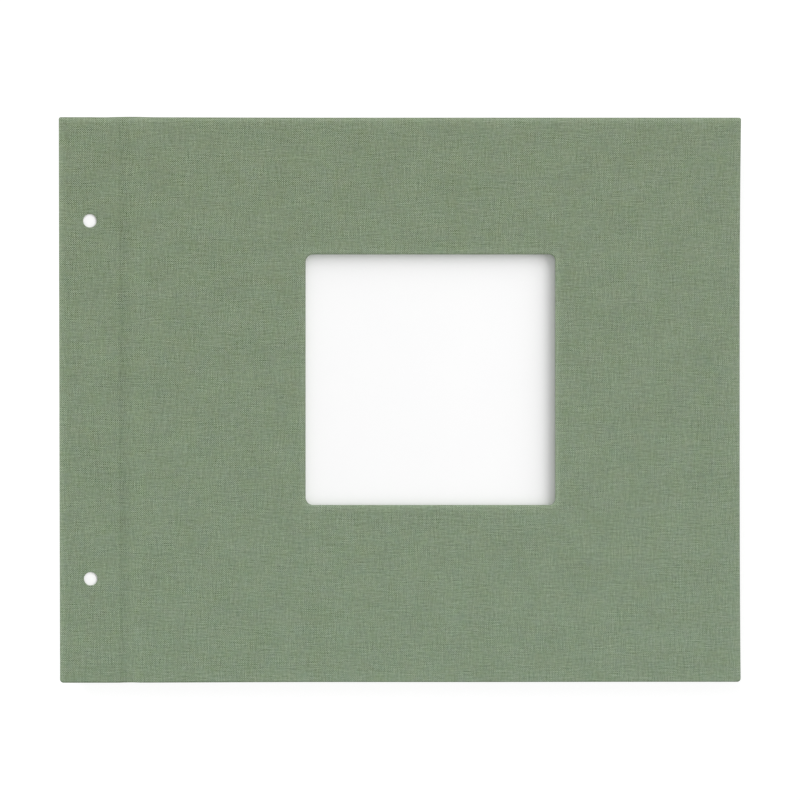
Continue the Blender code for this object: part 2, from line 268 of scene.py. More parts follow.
def linenMaterial():
    # plain weave: warp i lies over weft j where i + j is odd; each thread has a tone that drifts along it,
    # each crossing one of its own, and the face darkens to the gaps by the sine of the place across the
    # thread, a painted shade; relief, paleness and hue change in proportion to the place on the cloth, and
    # the hue drifts by noise
    look = linenLook
    material, tool, shader = newMaterial("linenWeave", {
        "Specular IOR Level": look["specular"],
        "Sheen Weight": look["sheen"],
        "Sheen Roughness": look["sheenRough"],
        "Sheen Tint": look["sage"],
    })
    x, y, wearAndHighlight = tool.node("ShaderNodeAttribute", {"attribute_name": "clothCut"}, out=1).axes()
    cut = tool.place(x, y)
    slow, fast = look["straySlow"], look["strayFast"]
    strayX = tool.noise(tool.place(x * slow, y * fast), flat=True) - 0.5
    strayY = tool.noise(tool.place(x * fast + look["strayApart"], y * slow), flat=True) - 0.5
    across = (x + strayX * (2 * look["wander"])) / look["warpPitch"]
    along = (y + strayY * (2 * look["wander"])) / look["weftPitch"]
    warp, weft = across.floor(), along.floor()
    over = (warp + weft).modulo(2.0)
    pair = tool.place(warp, weft)
    crossing = tool.node("ShaderNodeTexWhiteNoise", {"noise_dimensions": "2D"}, {"Vector": pair})

    def drift(number, along):
        # a thread's own noise less a share of the next thread's
        run = along / look["slubLength"]
        spots = [tool.place(row * look["threadStep"], run) for row in (number, number + 1)]
        own, other = (tool.noise(spot, roughness=look["slubRough"], flat=True) - 0.5 for spot in spots)
        return own - other * look["contrast"]

    warpTone = drift(warp + look["firstWarp"], y)
    weftTone = drift(weft + look["firstWeft"], x)
    relief = (1.0 + look["reliefAcross"] * x + look["reliefAlong"] * y).clamp(*look["reliefRange"])
    weave = (over - 0.5) * (look["weaveDrift"] * (warpTone - weftTone) + 2 * look["weaveTone"])
    warpCrown = (across.part() * math.pi).sine()
    weftCrown = (along.part() * math.pi).sine()
    level, fall = look["crownFlat"], 1 - look["crownFlat"]
    crown = over * warpCrown * (level + fall * weftCrown)
    crown = crown + (1 - over) * weftCrown * (level + fall * warpCrown)
    patch = tool.noise(cut, look["patchScale"], flat=True) - 0.5

    tone = 1.0 + look["warpTone"] * warpTone + look["weftTone"] * weftTone
    tone = tone + relief * weave + look["crossingTone"] * (crossing - 0.5)
    # painted shade in the thread gaps, painted highlight on the crowns
    tone = tone + look["gapTone"] * (crown - look["crownMean"])
    # paler beside folds and edges: wear and painted highlight
    tone = tone + look["patchTone"] * patch + look["wearTone"] * wearAndHighlight
    tone = tone + look["fadeAcross"] * x + look["fadeAlong"] * y

    drifting = look["driftScale"], look["driftDetail"], look["driftRough"]
    grey = tool.noise(cut, *drifting, flat=True) - 0.5
    blue = tool.noise(cut.scaled(-1.0), *drifting, flat=True) - 0.5
    greySteps = look["greyDrift"] * grey + look["greyAlong"] * y
    blueSteps = look["blueDrift"] * blue + look["blueAcross"] * x + look["blueAlong"] * y
    colour = tool.place(*look["sage"][:3])
    colour = colour.moved(greySteps, look["greyStep"]).moved(blueSteps, look["blueStep"])
    colour = colour.moved(tone - 1.0, look["paleStep"])
    connect(
        shader, baseColor=colour, roughness=look["rough"] + look["crownRough"] * crown,
        normal=crown.bump(look["bump"], look["bumpHeight"]),
    )
    return material


paperLook = {
    "sheet": {
        "colour": (0.84, 0.83, 0.80, 1.0), "shade": (0.80, 0.785, 0.75, 1.0), "rough": 0.78, "fibre": 0.5,
    },
    "lining": {
        "colour": (0.83, 0.82, 0.79, 1.0), "shade": (0.78, 0.77, 0.735, 1.0), "rough": 0.75, "fibre": 0.4,
    },
    "guard": {
        "colour": (0.80, 0.79, 0.76, 1.0), "shade": (0.74, 0.73, 0.695, 1.0), "rough": 0.8, "fibre": 0.6,
    },
    "card": {
        "colour": (0.90, 0.90, 0.90, 1.0), "shade": (0.885, 0.885, 0.89, 1.0), "rough": 0.6, "fibre": 0.2,
    },
    "pulp": {             # what every kind is made of
        "fibreLong": 0.5,      # noise to the millimetre, along a fibre and across it
        "fibreShort": 3.0,
        "fibreApart": 9.0,     # the cross fibres lie in another stretch of noise
        "fibreDetail": 4.0,
        "fibreRough": 0.65,
        "cloudScale": 0.05,
        "cloudDetail": 3.0,
        "cloudFrom": 0.3,
        "glossShare": 0.1,
        "bump": 0.12,
        "bumpHeight": 0.05,
        "specular": 0.3,
    },
}


def paperMaterial(kind):
    # short pulp fibres: fine noise stretched along x and along y, over a slow cloudiness in tone
    look, pulp = paperLook[kind], paperLook["pulp"]
    material, tool, shader = newMaterial(f"{kind}Paper", {"Specular IOR Level": pulp["specular"]})
    where = tool.where()
    x, y, z = where.axes()
    slow, fast, apart = pulp["fibreLong"], pulp["fibreShort"], pulp["fibreApart"]
    fine = 1.0, pulp["fibreDetail"], pulp["fibreRough"]
    fibres = tool.noise(tool.place(x * slow, y * fast, z), *fine)
    crossing = tool.noise(tool.place(x * fast + apart, y * slow, z), *fine)
    cloud = tool.noise(where, pulp["cloudScale"], pulp["cloudDetail"])
    mark = (fibres + crossing - 1.0) * look["fibre"]
    colour = tool.mix((cloud + mark - pulp["cloudFrom"]).clamp(), look["colour"], look["shade"])
    connect(
        shader, baseColor=colour, roughness=look["rough"] + pulp["glossShare"] * mark,
        normal=(fibres + crossing).bump(pulp["bump"], pulp["bumpHeight"]),
    )
    return material


boardLook = {
    "dark": (0.27, 0.245, 0.21, 1.0),
    "pale": (0.37, 0.335, 0.29, 1.0),
    "fleck": (0.52, 0.49, 0.44, 1.0),
    "mottleScale": 0.25,
    "mottleDetail": 5.0,
    "mottleRough": 0.65,
    "fleckScale": 2.2,
    "fleckFrom": 0.62,
    "fleckGain": 6.0,
    "rough": 0.82,
    "glossShare": 0.14,
    "bump": 0.2,
    "bumpHeight": 0.1,
    "specular": 0.2,
}


def boardMaterial():
    # greyboard: pressed waste paper, pale and dark flecks over a mottled grey
    look = boardLook
    material, tool, shader = newMaterial("greyboard", {"Specular IOR Level": look["specular"]})
    where = tool.where()
    mottle = tool.noise(where, look["mottleScale"], look["mottleDetail"], look["mottleRough"])
    fleck = tool.noise(where, look["fleckScale"])
    colour = tool.mix(mottle, look["dark"], look["pale"])
    colour = tool.mix(((fleck - look["fleckFrom"]) * look["fleckGain"]).clamp(), colour, look["fleck"])
    connect(
        shader, baseColor=colour, roughness=look["rough"] + look["glossShare"] * mottle,
        normal=fleck.bump(look["bump"], look["bumpHeight"]),
    )
    return material


postLook = {
    "dull": (0.925, 0.925, 0.92, 1.0),
    "bright": (0.95, 0.95, 0.945, 1.0),
    "skinScale": 1.6,
    "hazeScale": 0.35,
    "hazeDetail": 3.0,
    "rough": 0.34,
    "glossShare": 0.16,
    "bump": 0.1,
    "bumpHeight": 0.05,
    "ior": 1.49,
}


def postMaterial():
    # moulded white plastic: a faint orange-peel skin and a little uneven gloss
    look = postLook
    material, tool, shader = newMaterial("postPlastic", {"IOR": look["ior"]})
    where = tool.where()
    skin = tool.noise(where, look["skinScale"])
    haze = tool.noise(where, look["hazeScale"], look["hazeDetail"])
    connect(
        shader, baseColor=tool.mix(haze, look["dull"], look["bright"]),
        roughness=look["rough"] + look["glossShare"] * haze,
        normal=skin.bump(look["bump"], look["bumpHeight"]),
    )
    return material


# surfaces

def smooth(t):
    # rises from 0 to 1 as three t squared less two t cubed
    t = np.clip(t, 0.0, 1.0)
    return t * t * (3 - 2 * t)


def lineUp(stops):
    # places along one axis: each stop is reached from the one before in so many even steps
    spans = [np.linspace(a, b, steps, endpoint=False) for (a, _), (b, steps) in zip(stops, stops[1:])]
    return np.concatenate(spans + [[stops[-1][0]]])


def quadsOf(rows, columns, closed=False, keep=None):
    # corners of each cell of a grid that is stored row by row; closed joins the last column to the first
    i = np.arange(rows - 1)[:, None]
    j = np.arange(columns if closed else columns - 1)[None, :]
    near, far = i * columns + j, i * columns + (j + 1) % columns
    cells = np.stack([near, far, far + columns, near + columns], axis=-1)
    return cells[keep] if keep is not None else cells.reshape(-1, 4)


def meshFrom(name, patches, cuts=None, facing=0):
    # joins patches of (points, quads) into one mesh, welds their seams and turns every face outward; an open
    # shell has no inside, so facing says whether most of it looks up (1) or down (-1)
    counts = np.cumsum([0] + [len(points) for points, _ in patches])
    points = np.concatenate([points for points, _ in patches])
    quads = np.concatenate([quads + start for (_, quads), start in zip(patches, counts)])
    mesh = bpy.data.meshes.new(name)
    mesh.from_pydata(points, [], quads.tolist())
    if cuts is not None:
        layer = mesh.attributes.new("clothCut", "FLOAT_VECTOR", "POINT")
        layer.data.foreach_set("vector", np.concatenate(cuts).astype(np.float32).ravel())
    builder = bmesh.new()
    builder.from_mesh(mesh)
    bmesh.ops.remove_doubles(builder, verts=builder.verts, dist=hair)
    bmesh.ops.delete(builder, geom=[v for v in builder.verts if not v.link_faces], context="VERTS")
    bmesh.ops.recalc_face_normals(builder, faces=builder.faces)
    builder.to_mesh(mesh)
    builder.free()
    normals, areas = np.empty(3 * len(mesh.polygons)), np.empty(len(mesh.polygons))
    mesh.polygons.foreach_get("normal", normals)
    mesh.polygons.foreach_get("area", areas)
    if facing * (areas * normals[2::3]).sum() < 0:
        mesh.flip_normals()
    mesh.update()
    return mesh


def addPiece(mesh, material=None):
    # puts a mesh into the scene as an object at the origin
    if material:
        mesh.materials.append(material)
    piece = bpy.data.objects.new(mesh.name, mesh)
    scene.collection.objects.link(piece)
    return piece


def finished(piece, cutter=None, thickness=0.0, sharpAngle=35):
    # walls the surface inwards, takes the cutter away from it and keeps the result as the piece's own mesh
    if thickness:
        wall = piece.modifiers.new("wall", "SOLIDIFY")
        wall.thickness = thickness
        wall.offset = -1
    if cutter:
        bite = piece.modifiers.new("bite", "BOOLEAN")
        bite.operation = "DIFFERENCE"
        bite.object = cutter
    bpy.context.view_layer.update()
    graph = bpy.context.evaluated_depsgraph_get()
    made = bpy.data.meshes.new_from_object(piece.evaluated_get(graph), depsgraph=graph)
    rough = piece.data
    piece.modifiers.clear()
    piece.data = made
    bpy.data.meshes.remove(rough)
    made.name = piece.name
    made.shade_smooth()
    made.set_sharp_from_angle(angle=math.radians(sharpAngle))
    return piece


def turned(profile, place, steps=72, ripple=None):
    # a profile of (radius, height) rows spun about a vertical axis: cosine and sine of the angle times the
    # radius, to which ripple adds by angle and height
    angle = np.linspace(0, 2 * np.pi, steps, endpoint=False)[None, :]
    radius, height = np.array(profile).T[:, :, None]
    radius = radius + (ripple(angle, height, radius) if ripple else 0)
    grid = [place[0] + radius * np.cos(angle), place[1] + radius * np.sin(angle), height + 0 * angle]
    return np.stack(grid, axis=-1).reshape(-1, 3), quadsOf(len(profile), steps, closed=True)


def rodCutter(name, places, radius, low, high):
    # a closed round rod at each place
    profile = [(0, high), (radius, high), (radius, low), (0, low)]
    return addPiece(meshFrom(name, [turned(profile, place) for place in places]))


def discard(cutter):
    # a cutter goes when it has cut
    mesh = cutter.data
    bpy.data.objects.remove(cutter)
    bpy.data.meshes.remove(mesh)


# cover linen

linenCut = {
    "thickness": 0.38 * mm,
    "edgeRound": 0.6 * mm,       # fold over the edge of a board
    "sag": 0.34 * mm,            # how far the face has fallen where that fold begins
    "sagRun": 2.2 * mm,
    "lean": 0.35,                # slope of the face there, radians
    "headCorner": 0.9 * mm,
    "tailCorner": 1.6 * mm,
    "turnIn": 15 * mm,
    "squeeze": 25 * mm,          # stretch along a side that the turn-in's corner draws in
    "grooveDepth": 1.15 * mm,
    "grooveFall": 5.0 * mm,      # run of the wall beside the strip; the wall to the panel takes the rest
    "creaseRun": 0.5 * mm,       # the strip's face bends over within this run
    "foldThickness": 1.0 * mm,   # two layers of cloth at the ends of the groove
    "foldRun": 2.6 * mm,
    "bulge": 0.3 * mm,           # cloth pushed out at the head of the groove
    "bulgeFrom": 5.1 * mm,       # from the strip to the top of the bulge
    "bulgeReach": 5.5 * mm,
    "bulgeBack": 12.5 * mm,      # from there to the dip beside it
    "dipReach": 3.5 * mm,
    "dipShare": 0.25,
    "bulgeFade": 5.0 * mm,
    "stripLean": 0.28 * mm,      # the strip leans this far to the spine at its head
    "leanRun": 20 * mm,
    "spineOut": 0.14 * mm,       # its long edge stands out
    "spineRun": 8 * mm,
    "headOut": 0.23 * mm,        # and so do its ends
    "tailOut": 0.31 * mm,
    "endStart": 10 * mm,         # from the spine, where that begins to fade
    "endFade": 110 * mm,
    "endRun": 20 * mm,           # depth of cover that is drawn out with its end
    "tailDrop": 0.1 * mm,        # the panel's tail stands out up to its middle
    "tailStart": 20 * mm,
    "tailFade": 100 * mm,
    "foreIn": 0.06 * mm,         # the fore edge is hollow
    "foreRun": 60 * mm,
    "foreFlare": {"head": 0.6 * mm, "tail": 0.43 * mm},   # and flares to its corners
    "windowCorner": {"spine": 3.4 * mm, "fore": 2.8 * mm},
    "windowRound": 0.6 * mm,
    "windowSag": 0.2 * mm,
    "windowTurnIn": 12 * mm,
    "windowMargin": 5 * mm,
    "windowClear": 0.5 * mm,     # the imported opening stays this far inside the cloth
    "holeRadius": {"front": 3.0 * mm, "back": 5.2 * mm},
    "holeMargin": 4 * mm,
    "holeDip": 0.12 * mm,        # punched rim pressed in
    "postHole": 2.5 * mm,        # hole in the turn-in, round the barrel
    "punch": (2 * mm, 6 * mm),   # depths below the face between which that hole is punched
    "wearRun": 3.0 * mm,         # paler band beside a fold: wear and painted highlight
    "wearPower": 1.5,
    "headWear": 1.6,             # palest at the head: painted highlight
    "foldShade": {"head": 0.7, "tail": 1.7},   # the fold over the head keeps less of that highlight, the fold over the tail gets painted shade
    "foldSteps": 6,
    "wallShares": (0.25, 0.5, 0.75),
    "turnInSteps": 8,
    "windowTurnInSteps": 6,
    "openingSteps": 13,
    "openingFall": 0.25,         # last share of the way to an opening, where the cloth falls
}


def grooveDip(x):
    # steepest beside the strip: a parabola falls to the full depth, half a cosine wave climbs to the panel
    along = x - album["stripEnd"]
    run = linenCut["grooveFall"]
    fall = np.clip(along / run, 0, 1)
    rise = np.clip((along - run) / (album["panelStart"] - album["stripEnd"] - run), 0, 1)
    return linenCut["grooveDepth"] * (1 - (1 - fall) ** 2) * (1 + np.cos(np.pi * rise)) / 2


def edgeSag(x, y, halfX, halfY):
    # the face falls to its edges by the square of the way into the last stretch; corners fall no deeper
    u = np.clip((np.abs(x) - halfX) / linenCut["sagRun"] + 1, 0, 1)
    v = np.clip((np.abs(y) - halfY) / linenCut["sagRun"] + 1, 0, 1)
    return linenCut["sag"] * (1 - (1 - u * u) * (1 - v * v))


def coverThickness(x):
    # a board and its two faces of cloth, thinned to two layers of cloth across the groove by smooth steps
    near = smooth((x - album["stripEnd"]) / linenCut["foldRun"])
    far = smooth((album["panelStart"] - x) / linenCut["foldRun"])
    return album["coverThickness"] - (album["coverThickness"] - linenCut["foldThickness"]) * near * far


def fadeOut(place, start, run):
    # 1 up to the start, then down to 0 over the run by a smooth step
    return smooth((start + run - place) / run)


def edgeBulge(x, y):
    # a bell curve outwards across the groove and a lower one inwards beside it, fading in to the head
    cut = linenCut
    middle = album["stripEnd"] + cut["bulgeFrom"]
    out = np.exp(-((x - middle) / cut["bulgeReach"]) ** 2)
    inwards = cut["dipShare"] * np.exp(-((x - middle + cut["bulgeBack"]) / cut["dipReach"]) ** 2)
    return cut["bulge"] * (out - inwards) * fadeOut(-y, -album["head"], cut["bulgeFade"])


def outOfTrue(x, y):
    # hand-made covers are never quite square: the strip leans in proportion to y, its edges stand out and
    # fade along the panel by smooth steps, and the fore edge bows in and flares by the cube of y
    cut = linenCut
    v = y / album["head"]
    strip = fadeOut(x, album["panelStart"] - cut["leanRun"], cut["leanRun"])
    spine = fadeOut(x, album["spine"], cut["spineRun"])
    fore = fadeOut(-x, -album["fore"], cut["foreRun"])
    flare = np.where(y > 0, cut["foreFlare"]["head"], cut["foreFlare"]["tail"])
    across = fore * (flare * np.abs(v) ** 3 - cut["foreIn"])
    across = across - strip * cut["stripLean"] * v - spine * cut["spineOut"]
    bound = fadeOut(x, album["spine"] + cut["endStart"], cut["endFade"])
    drop = cut["tailOut"] * bound + cut["tailDrop"] * fadeOut(x, cut["tailStart"], cut["tailFade"])
    ends = fadeOut(-np.abs(y), -album["head"], cut["endRun"])
    return across, ends * np.where(y > 0, cut["headOut"] * bound, -drop)


def foldWearAndHighlight(distance):
    # 1 at a fold, falling by a power of the way over the run beside it: the band of wear and painted
    # highlight
    return np.clip(1 - distance / linenCut["wearRun"], 0, 1) ** linenCut["wearPower"]


def cornerRadius(y):
    # the cover's corner seen from above, less the round over its edge
    return np.where(y > 0, linenCut["headCorner"], linenCut["tailCorner"]) - linenCut["edgeRound"]


def roundCorners(x, y, halfX, halfY):
    # squeezes the square at each corner onto a quarter disc: u times the root of 1 less half v squared
    radius = cornerRadius(y)
    u = np.clip((np.abs(x) - halfX + radius) / radius, 0, 1)
    v = np.clip((np.abs(y) - halfY + radius) / radius, 0, 1)
    inCorner = (u > 0) & (v > 0)
    newX = np.sign(x) * (halfX - radius + radius * u * np.sqrt(1 - v * v / 2))
    newY = np.sign(y) * (halfY - radius + radius * v * np.sqrt(1 - u * u / 2))
    return np.where(inCorner, newX, x), np.where(inCorner, newY, y)


def unit(rows):
    # each row over its own length
    return rows / np.linalg.norm(rows, axis=1, keepdims=True)


def outward(x, y, halfX, halfY):
    # direction from the nearest point of the outline's core to a point on the outline
    coreX, coreY = halfX - cornerRadius(y), halfY - cornerRadius(y)
    return unit(np.column_stack([x - np.clip(x, -coreX, coreX), y - np.clip(y, -coreY, coreY)]))


def drawnIn(place, half, inset):
    # moves a place on the outline in by inset; along the side only its last stretch is squeezed
    squeeze = linenCut["squeeze"]
    gap = half - np.abs(place)
    moved = np.where(gap < squeeze, inset + gap * (squeeze - inset) / squeeze, gap)
    return np.sign(place) * (half - moved)


def rimLoop(rows, columns):
    # indices round the edge of a grid, anticlockwise seen from above
    whole = np.arange(rows * columns).reshape(rows, columns)
    return np.concatenate([whole[0, :-1], whole[:-1, -1], whole[-1, :0:-1], whole[:0:-1, 0]])


def foldRings(start, away, top, thickness, roundness, insets, underside):
    # a profile carried along a loop: a round over the edge that sets off with the face's lean, a straight
    # wall, a quarter round under the edge, then the turn-in; each ring holds (x, y, depth below the face)
    first, steps = linenCut["lean"], linenCut["foldSteps"]
    bend = np.minimum(roundness, (thickness - top) / 2)
    rings = []
    for a in np.linspace(first, np.pi / 2, steps):
        out = (np.sin(a) - np.sin(first)) / (1 - np.sin(first))
        rings.append((start + away * roundness * out, top + bend * (1 - np.cos(a) / np.cos(first))))
    wall = thickness - top - 2 * bend
    rings += [(rings[-1][0], top + bend + wall * share) for share in linenCut["wallShares"]]
    for a in np.linspace(np.pi / 2, 0, steps):
        rings.append((start + away * roundness * np.sin(a), thickness - bend * (1 - np.cos(a))))
    rings += [(underside(inset), thickness) for inset in insets]
    return np.stack([np.column_stack([flat, np.broadcast_to(depth, len(flat))]) for flat, depth in rings])


def clothCut(flat, wearAndHighlight):
    # what the linen's pattern reads at each point: its place on the flat cloth in millimetres, and its wear
    # and painted highlight
    return np.column_stack([flat.reshape(-1, 2) / mm, np.broadcast_to(wearAndHighlight, flat.shape[:-1]).ravel()])


def unrolled(rings, away, insets, pale=1.0):
    # on the flat cloth each ring lies as far beyond the first as the profile is long; the turn-in's wear and
    # painted highlight go by its way from the fold, and pale scales them round the loop
    steps = np.linalg.norm(np.diff(rings, axis=0), axis=2)
    travel = np.concatenate([np.zeros((1, rings.shape[1])), np.cumsum(steps, axis=0)])
    wearAndHighlight = np.concatenate([np.ones(len(rings) - len(insets)), foldWearAndHighlight(insets)])[:, None] * pale
    return clothCut(rings[0][None, :, :2] + away[None] * travel[:, :, None], wearAndHighlight)


def windowEdges():
    # lowest and highest corner of the cloth's opening
    low, high = (np.array(corner[:2]) for corner in frame["record"]["physics"]["openings"][0]["box_m"])
    return low - linenCut["windowClear"], high + linenCut["windowClear"]


def clothLines(halfX, halfY, block):
    # the grid's places across and along a cover, close together at corners, holes, groove and window
    low, high = windowEdges()
    (postX, postHigh), (_, postLow) = postPlaces()
    margin, inner = linenCut["windowMargin"], linenCut["windowCorner"]["spine"]
    corner = linenCut["sagRun"]
    xs = lineUp([
        (-halfX, 0), (-halfX + corner, 14), (postX - block, 3), (postX + block, 16),
        (album["stripEnd"] - linenCut["creaseRun"], 4), (album["stripEnd"], 3), (album["panelStart"], 34),
        (low[0] - margin, 16), (low[0] + inner, 11), (high[0] - inner, 20), (high[0] + margin, 11),
        (halfX - corner, 16), (halfX, 14),
    ])
    ys = lineUp([
        (-halfY, 0), (-halfY + corner, 14), (postLow - block, 10), (postLow + block, 16),
        (low[1] - margin, 5), (low[1] + inner, 11), (high[1] - inner, 20), (high[1] + margin, 11),
        (postHigh - block, 2), (postHigh + block, 16), (halfY - corner, 10), (halfY, 14),
    ])
    return xs, ys


def openingPatch(outer, core, radius, dip):
    # rings from the rim of a block to an opening: each point runs straight to the rim round its core point,
    # closing up by the square, and over the last share of its way it falls by the square of its progress
    away = unit(outer - core)
    start = core + away * radius
    share = 1 - (1 - np.linspace(0, 1, linenCut["openingSteps"])[:, None, None]) ** 2
    flat = outer[None] * (1 - share) + start[None] * share
    last = np.clip((share - 1) / linenCut["openingFall"] + 1, 0, 1)
    depth = np.broadcast_to(dip * last ** 2, flat.shape[:2] + (1,))
    return np.concatenate([flat, depth], axis=2), start, away


def asPatch(rings):
    # rings one inside the other become a closed band of points and quads
    return rings.reshape(-1, 3), quadsOf(*rings.shape[:2], closed=True)


def coverLinen(side, material):
    # a face grid with openings left out, rings that lead to each opening, and folds round window and edge
    cut = linenCut
    front = side == "front"
    halfX, halfY = album["fore"] - cut["edgeRound"], album["head"] - cut["edgeRound"]
    hole = cut["holeRadius"][side]
    block = hole + cut["holeMargin"]
    xs, ys = clothLines(halfX, halfY, block)
    x, y = roundCorners(*(grid.ravel() for grid in np.meshgrid(xs, ys)), halfX, halfY)
    face = np.column_stack([x, y + edgeBulge(x, y), grooveDip(x) + edgeSag(x, y, halfX, halfY)])
    rows, columns = len(ys), len(xs)
    keep = np.ones((rows - 1, columns - 1), bool)
    patches, cuts, lost = [], [], 0.0

    def blockRim(middle, half):
        # leaves a block of cells out of the face and gives the points round it
        i = np.searchsorted(ys, [middle[1] - half[1] - hair, middle[1] + half[1] - hair])
        j = np.searchsorted(xs, [middle[0] - half[0] - hair, middle[0] + half[0] - hair])
        keep[i[0]:i[1], j[0]:j[1]] = False
        width = j[1] - j[0] + 1
        around = rimLoop(i[1] - i[0] + 1, width)
        return face[(i[0] + around // width) * columns + j[0] + around % width][:, :2]

    for place in postPlaces():
        outer = blockRim(place, (block, block))
        rings, _, _ = openingPatch(outer, np.full_like(outer, place), hole, cut["holeDip"])
        patches.append(asPatch(rings))
        cuts.append(clothCut(rings[:, :, :2], 0))

    if front:
        low, high = windowEdges()
        middle, half = (low + high) / 2, (high - low) / 2
        outer = blockRim(middle, half + cut["windowMargin"])
        corners = cut["windowCorner"]
        corner = np.where(outer[:, :1] > middle[0], corners["fore"], corners["spine"])
        core = np.clip(outer, middle - half + corner, middle + half - corner)
        rings, start, away = openingPatch(outer, core, corner + cut["windowRound"], cut["windowSag"])
        patches.append(asPatch(rings))
        # paler towards the window's fold: wear and painted highlight
        fromEdge = np.linalg.norm(rings[:, :, :2] - start, axis=2)
        cuts.append(clothCut(rings[:, :, :2], foldWearAndHighlight(fromEdge)))
        thickness = np.full(len(start), album["coverThickness"])
        insets = np.linspace(0, cut["windowTurnIn"], cut["windowTurnInSteps"])[1:]
        rings = foldRings(
            start, -away, cut["windowSag"], thickness, cut["windowRound"], insets,
            lambda inset: start + away * inset,
        )
        patches.append(asPatch(rings))
        cuts.append(unrolled(rings, -away, insets))
        lost = np.prod(np.ptp(cuts[-1][-len(start):, :2], axis=0) * mm)   # cut out between the turn-ins

    loop = rimLoop(rows, columns)
    rim = face[loop][:, :2]
    away = outward(x[loop], y[loop], halfX, halfY)
    insets = np.linspace(0, cut["turnIn"] - cut["edgeRound"], cut["turnInSteps"])[1:]
    rings = foldRings(
        rim, away, edgeSag(x[loop], y[loop], halfX, halfY), coverThickness(rim[:, 0]), cut["edgeRound"],
        insets,
        lambda inset: np.column_stack([drawnIn(rim[:, 0], halfX, inset), drawnIn(rim[:, 1], halfY, inset)]),
    )
    steps = np.linalg.norm(np.diff(rings, axis=0), axis=2)
    reach = np.median(steps.sum(axis=0))   # fold and turn-in laid flat
    # paler band inside the edges: wear and painted highlight
    fromEdge = np.minimum(halfX - np.abs(x), halfY - np.abs(y))
    # brighter still at the head: painted highlight
    wearAndHighlight = foldWearAndHighlight(fromEdge) * np.where(fromEdge == halfY - y, cut["headWear"], 1)
    # less painted highlight on the fold over the head, painted shade on the fold over the tail
    shade = np.where(away[:, 1] > 0, cut["foldShade"]["head"], cut["foldShade"]["tail"])
    pale = 1 - shade * np.abs(away[:, 1])
    cuts = [clothCut(face[:, :2], wearAndHighlight)] + cuts + [unrolled(rings, away, insets, pale)]
    rings[:, :, 2] += grooveDip(rings[:, :, 0])
    patches = [(face, quadsOf(rows, columns, keep=keep))] + patches + [asPatch(rings)]
    for points, _ in patches:
        across, along = outOfTrue(points[:, 0], points[:, 1])
        points[:, 0] += across
        points[:, 1] += along
        points[:, 2] = album["front"] - points[:, 2] if front else album["back"] + points[:, 2]

    up = 1 if front else -1
    linen = addPiece(meshFrom(f"{side}Linen", patches, cuts, facing=up), material)
    punch = sorted(album[side] - up * depth for depth in cut["punch"])
    rods = rodCutter("postHoles", postPlaces(), cut["postHole"], *punch)
    finished(linen, rods, cut["thickness"])
    discard(rods)
    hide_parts(f"{side}_cloth", f"{side}_strip_cloth", f"{side}_hinge_cloth")
    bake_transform(linen)
    width, length = 2 * (halfX + reach), 2 * (halfY + reach)
    width * length - lost
    flatSize = f"{width / mm:.0f} by {length / mm:.0f} mm"
    print(f"{side} linen:", len(linen.data.polygons), "faces, flat", flatSize)


# sheets

sheetCut = {
    "thickness": 0.235 * mm,
    "bendRun": 2.6 * mm,     # the crease bends this far to either side of the hinge line
    "wave": 0.06 * mm,       # how far a leaf strays from flat
    "waveTurn": 24,          # radians to the metre from spine to fore edge
    "stray": 0.3 * mm,       # how unevenly the fore edges line up
    "postHole": 2.5 * mm,
    "flapSteps": 8,
    "foldSteps": 9,
    "stubSteps": 7,
    "bendSteps": 26,
    "leafSteps": 22,
    "lengthSteps": 13,
}


def foldedSheet(number, material, rods, dice):
    # a strip of paper followed in section: the flap runs to the fold at the spine, turns half round and comes
    # back under itself as stub, crease and leaf; the section is carried from tail to head, and the leaf waves
    # by a sine of y and one of x
    cut = sheetCut
    stubLow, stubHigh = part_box(f"sheet_{number:02d}_stub")
    leafLow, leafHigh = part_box(f"sheet_{number:02d}_leaf")
    hinge, bend = album["hinge"], cut["bendRun"]
    radius = (stubHigh.z - stubLow.z) / 4
    foldX = stubLow.x + radius
    flap = np.linspace(hinge - bend, foldX, cut["flapSteps"], endpoint=False)
    lean = np.linspace(np.pi / 2, 3 * np.pi / 2, cut["foldSteps"])
    run = lineUp([
        (foldX, 0), (hinge - bend, cut["stubSteps"]), (hinge + bend, cut["bendSteps"]),
        (leafHigh.x, cut["leafSteps"]),
    ])[1:]
    lineX = np.concatenate([flap, foldX + radius * np.cos(lean), run])
    turn = np.concatenate([np.ones(len(flap)), np.sin(lean), -np.ones(len(run))])
    lineZ = stubLow.z + 2 * radius + radius * turn
    tangent = unit(np.column_stack([np.gradient(lineX), np.gradient(lineZ)]))
    normal = np.column_stack([-tangent[:, 1], tangent[:, 0]]) * cut["thickness"] / 2
    line = np.column_stack([lineX, lineZ])
    section = np.concatenate([line + normal, (line - normal)[::-1]])

    y = np.linspace(leafLow.y, leafHigh.y, cut["lengthSteps"])[:, None]
    x, z = section.T[:, None, :]
    free = smooth((x - hinge) / (leafHigh.x - hinge)) * (np.concatenate([turn, turn[::-1]]) < -0.5)
    phase = dice.uniform(0, 2 * np.pi, 2)
    wave = np.sin(2 * np.pi * y / (leafHigh.y - leafLow.y) + phase[0])
    wave = wave + np.sin(cut["waveTurn"] * x + phase[1])
    points = np.stack([
        x + free * dice.uniform(-1, 1) * cut["stray"] + 0 * y,
        y + free * dice.uniform(-1, 1) * cut["stray"],
        z + free * wave * cut["wave"] / 2,
    ], axis=-1)
    count = len(line)
    patches = [(points.reshape(-1, 3), quadsOf(len(y), 2 * count, closed=True))]
    for end in (points[0], points[-1]):
        pair = np.stack([end[:count], end[:count - 1:-1]])
        patches.append((pair.reshape(-1, 3), quadsOf(2, count)))
    sheet = finished(addPiece(meshFrom(f"sheet{number:02d}", patches), material), rods)
    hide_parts(f"sheet_{number:02d}_stub", f"sheet_{number:02d}_leaf")
    hinge - bend
    hinge + bend
    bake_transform(sheet)


# posts

